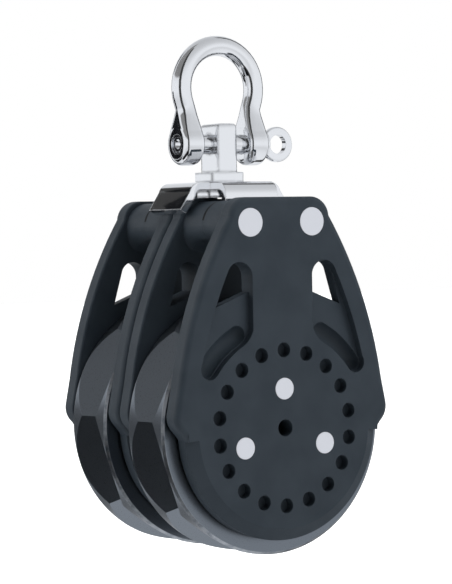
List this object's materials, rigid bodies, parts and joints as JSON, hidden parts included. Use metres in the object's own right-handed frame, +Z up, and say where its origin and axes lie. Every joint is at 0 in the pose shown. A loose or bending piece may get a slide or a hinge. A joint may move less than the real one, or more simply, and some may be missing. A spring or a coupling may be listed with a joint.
{
  "type": "double ratchet block",
  "caption": "Double sailing block: faceted ratchet sheaves side by side in moulded cheeks, hung from a swivelling bow shackle with a screw pin.",
  "frame": {"origin": "on the sheave axis, where the two middle cheeks meet", "axes": "+X along the sheave axis towards the near cheek, +Y across the cheeks, +Z up to the shackle"},
  "size_m": [0.068, 0.076, 0.1558],
  "materials": {
    "shell_nylon": "matte glass-filled nylon",
    "sheave_alloy": "dark hard anodised",
    "bearing_resin": "smooth",
    "ball_resin": "polished acetal",
    "ratchet_steel": "machined stainless steel",
    "rivet_steel": "satin stainless steel",
    "polished_steel": "polished stainless steel"
  },
  "bodies": {
    "shackle": {"shackle_bow": "polished_steel"},
    "pin": {"shackle_pin": "polished_steel"},
    "post": {"swivel_post": "polished_steel", "swivel_nut": "polished_steel"},
    "frame": {"near_outer_shell": "shell_nylon", "near_inner_shell": "shell_nylon", "near_hub": "bearing_resin", "near_pawl_pins": "ratchet_steel", "near_pawl_springs": "ratchet_steel", "far_outer_shell": "shell_nylon", "far_inner_shell": "shell_nylon", "far_hub": "bearing_resin", "far_pawl_pins": "ratchet_steel", "far_pawl_springs": "ratchet_steel", "hub_rivets": "rivet_steel", "head_rivets": "rivet_steel", "head_bracket": "polished_steel"},
    "near_wheel": {"near_sheave": "sheave_alloy", "near_ratchet_ring": "ratchet_steel"},
    "near_bearing": {"near_right_balls": "ball_resin", "near_right_cage": "bearing_resin", "near_left_balls": "ball_resin", "near_left_cage": "bearing_resin"},
    "near_upper_pawl": {"near_upper_pawl": "ratchet_steel"},
    "near_lower_pawl": {"near_lower_pawl": "ratchet_steel"},
    "far_wheel": {"far_sheave": "sheave_alloy", "far_ratchet_ring": "ratchet_steel"},
    "far_bearing": {"far_right_balls": "ball_resin", "far_right_cage": "bearing_resin", "far_left_balls": "ball_resin", "far_left_cage": "bearing_resin"},
    "far_upper_pawl": {"far_upper_pawl": "ratchet_steel"},
    "far_lower_pawl": {"far_lower_pawl": "ratchet_steel"}
  },
  "joints": [
    {"name": "pin_draw", "type": "slide", "parent": "shackle", "child": "pin", "axis": [0, 1, 0], "range_m": [0, 0.034]},
    {"name": "shackle_swing", "type": "hinge", "parent": "shackle", "child": "post", "pos_m": [0, 0, 0.0848], "axis": [0, 1, 0], "range_deg": [-90, 90]},
    {"name": "head_swivel", "type": "hinge", "parent": "post", "child": "frame", "pos_m": [0, 0, 0.0731], "axis": [0, 0, 1], "continuous": true},
    {"name": "near_sheave_spin", "type": "hinge", "parent": "frame", "child": "near_wheel", "pos_m": [0.017, 0, 0], "axis": [1, 0, 0], "continuous": true},
    {"name": "near_bearing_roll", "type": "hinge", "parent": "frame", "child": "near_bearing", "pos_m": [0.017, 0, 0], "axis": [1, 0, 0], "continuous": true},
    {"name": "near_upper_pawl_lift", "type": "hinge", "parent": "frame", "child": "near_upper_pawl", "pos_m": [0.017, 0.0051, 0.0168], "axis": [-1, 0, 0], "range_deg": [0, 8], "stiffness_Nm_per_rad": 0.002, "springref_deg": -11.46},
    {"name": "near_lower_pawl_lift", "type": "hinge", "parent": "frame", "child": "near_lower_pawl", "pos_m": [0.017, -0.0051, -0.0168], "axis": [-1, 0, 0], "range_deg": [0, 8], "stiffness_Nm_per_rad": 0.002, "springref_deg": -11.46},
    {"name": "far_sheave_spin", "type": "hinge", "parent": "frame", "child": "far_wheel", "pos_m": [-0.017, 0, 0], "axis": [1, 0, 0], "continuous": true},
    {"name": "far_bearing_roll", "type": "hinge", "parent": "frame", "child": "far_bearing", "pos_m": [-0.017, 0, 0], "axis": [1, 0, 0], "continuous": true},
    {"name": "far_upper_pawl_lift", "type": "hinge", "parent": "frame", "child": "far_upper_pawl", "pos_m": [-0.017, 0.0051, 0.0168], "axis": [-1, 0, 0], "range_deg": [0, 8], "stiffness_Nm_per_rad": 0.002, "springref_deg": -11.46},
    {"name": "far_lower_pawl_lift", "type": "hinge", "parent": "frame", "child": "far_lower_pawl", "pos_m": [-0.017, -0.0051, -0.0168], "axis": [-1, 0, 0], "range_deg": [0, 8], "stiffness_Nm_per_rad": 0.002, "springref_deg": -11.46}
  ],
  "couplings": [
    {"joint": "near_bearing_roll", "follows": "near_sheave_spin", "ratio": 0.5524},
    {"joint": "far_bearing_roll", "follows": "far_sheave_spin", "ratio": 0.5524}
  ]
}
